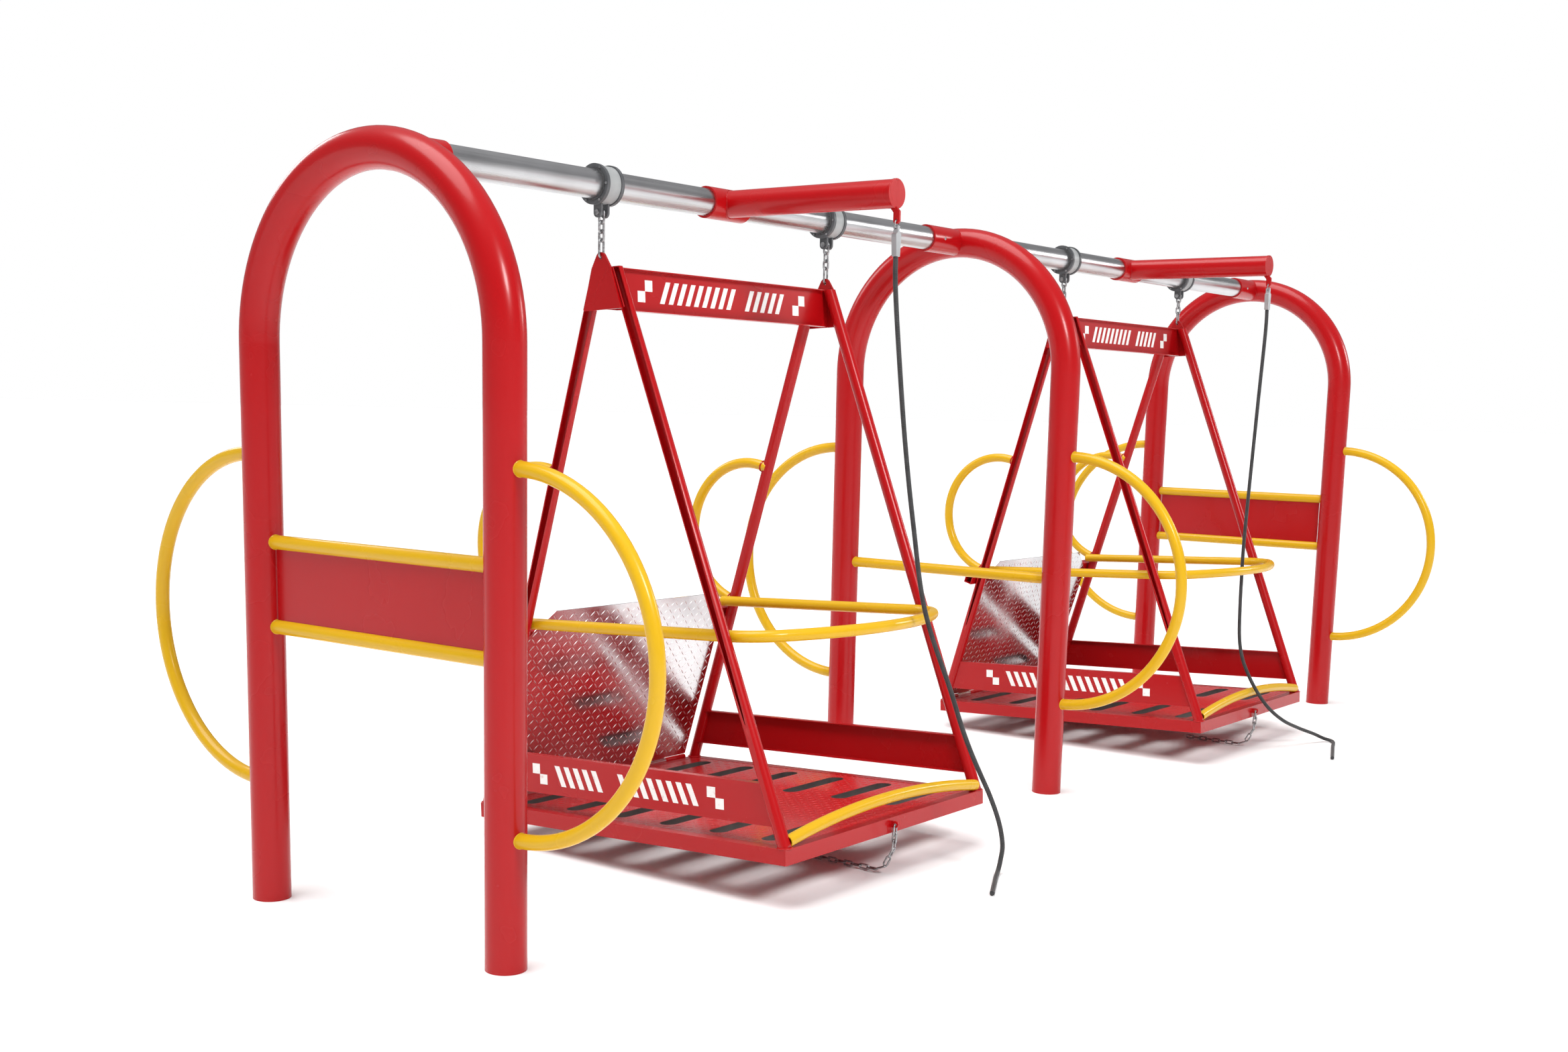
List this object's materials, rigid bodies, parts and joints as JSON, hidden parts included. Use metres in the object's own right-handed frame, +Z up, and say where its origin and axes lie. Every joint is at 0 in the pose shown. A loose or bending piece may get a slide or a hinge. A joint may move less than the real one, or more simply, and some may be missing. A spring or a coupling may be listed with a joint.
{
  "type": "wheelchair platform swing set",
  "caption": "Playground swing frame of tube arches with two hanging wheelchair platforms, fold-down ramps, handrails and pull ropes.",
  "frame": {"origin": "on the ground, at the centre of the bounding box of everything but the pull ropes, which is the foot of the middle arch's plane", "axes": "+X along the top beam, +Y towards the ramps, +Z up; the pull arms point along -Y"},
  "size_m": [6.0342, 2.2255, 2.2421],
  "materials": {
    "red_paint": "gloss",
    "yellow_paint": "gloss",
    "polished_beam": "polished",
    "zinc_steel": "galvanised",
    "bearing_plastic": "matte",
    "hub_casting": "satin",
    "ring_casting": "satin",
    "cast_aluminium": "satin",
    "tread_plate": "bright",
    "deck_coating": "fine anti-slip",
    "black_rope": "matte"
  },
  "bodies": {
    "root": {"arch_1": "red_paint", "arch_2": "red_paint", "arch_3": "red_paint", "foot_plates": "red_paint", "guard_hoops_1": "yellow_paint", "guard_hoops_2": "yellow_paint", "guard_hoops_3": "yellow_paint", "end_rails": "yellow_paint", "middle_rail": "yellow_paint", "end_panels": "red_paint", "beam_1": "polished_beam", "beam_2": "polished_beam", "beam_sockets": "red_paint", "socket_screws": "zinc_steel", "bearing_sleeves": "bearing_plastic", "pull_arm_1": "red_paint", "pull_arm_2": "red_paint", "arm_hooks": "red_paint", "rope_snaps": "zinc_steel", "rope_terminals": "cast_aluminium", "pull_rope_1": "black_rope", "pull_rope_2": "black_rope"},
    "hanger_1": {"hanger_hubs_1": "hub_casting", "hanger_rings_1": "ring_casting", "hanger_bolts_1": "zinc_steel", "hanger_chains_1": "zinc_steel"},
    "swing_1": {"gussets_1": "red_paint", "a_frames_1": "red_paint", "sign_channel_1": "red_paint", "deck_frame_1": "red_paint", "deck_plate_1": "deck_coating", "kick_boards_1": "red_paint", "wheel_stop_1": "yellow_paint", "hoop_rail_1": "yellow_paint", "grab_loops_1": "yellow_paint", "tie_lug_1": "red_paint", "tie_chain_1": "zinc_steel", "ramp_hinge_1": "red_paint"},
    "ramp_1": {"ramp_plate_1": "tread_plate", "ramp_bar_1": "red_paint"},
    "hanger_2": {"hanger_hubs_2": "hub_casting", "hanger_rings_2": "ring_casting", "hanger_bolts_2": "zinc_steel", "hanger_chains_2": "zinc_steel"},
    "swing_2": {"gussets_2": "red_paint", "a_frames_2": "red_paint", "sign_channel_2": "red_paint", "deck_frame_2": "red_paint", "deck_plate_2": "deck_coating", "kick_boards_2": "red_paint", "wheel_stop_2": "yellow_paint", "hoop_rail_2": "yellow_paint", "grab_loops_2": "yellow_paint", "tie_lug_2": "red_paint", "tie_chain_2": "zinc_steel", "ramp_hinge_2": "red_paint"},
    "ramp_2": {"ramp_plate_2": "tread_plate", "ramp_bar_2": "red_paint"}
  },
  "joints": [
    {"name": "hanger_swing_1", "type": "hinge", "parent": "root", "child": "hanger_1", "pos_m": [-1.48, 0, 2.18], "axis": [1, 0, 0], "range_deg": [-20, 20], "deforming": ["pull_rope_1", "tie_chain_1"]},
    {"name": "link_swing_1", "type": "hinge", "parent": "hanger_1", "child": "swing_1", "pos_m": [-1.48, 0, 1.961], "axis": [1, 0, 0], "range_deg": [-10, 10]},
    {"name": "ramp_fold_1", "type": "hinge", "parent": "swing_1", "child": "ramp_1", "pos_m": [-1.48, 0.59013, 0.1303], "axis": [1, 0, 0], "range_deg": [-117, 0]},
    {"name": "hanger_swing_2", "type": "hinge", "parent": "root", "child": "hanger_2", "pos_m": [1.48, 0, 2.18], "axis": [1, 0, 0], "range_deg": [-20, 20], "deforming": ["pull_rope_2", "tie_chain_2"]},
    {"name": "link_swing_2", "type": "hinge", "parent": "hanger_2", "child": "swing_2", "pos_m": [1.48, 0, 1.961], "axis": [1, 0, 0], "range_deg": [-10, 10]},
    {"name": "ramp_fold_2", "type": "hinge", "parent": "swing_2", "child": "ramp_2", "pos_m": [1.48, 0.59013, 0.1303], "axis": [1, 0, 0], "range_deg": [-117, 0]}
  ]
}
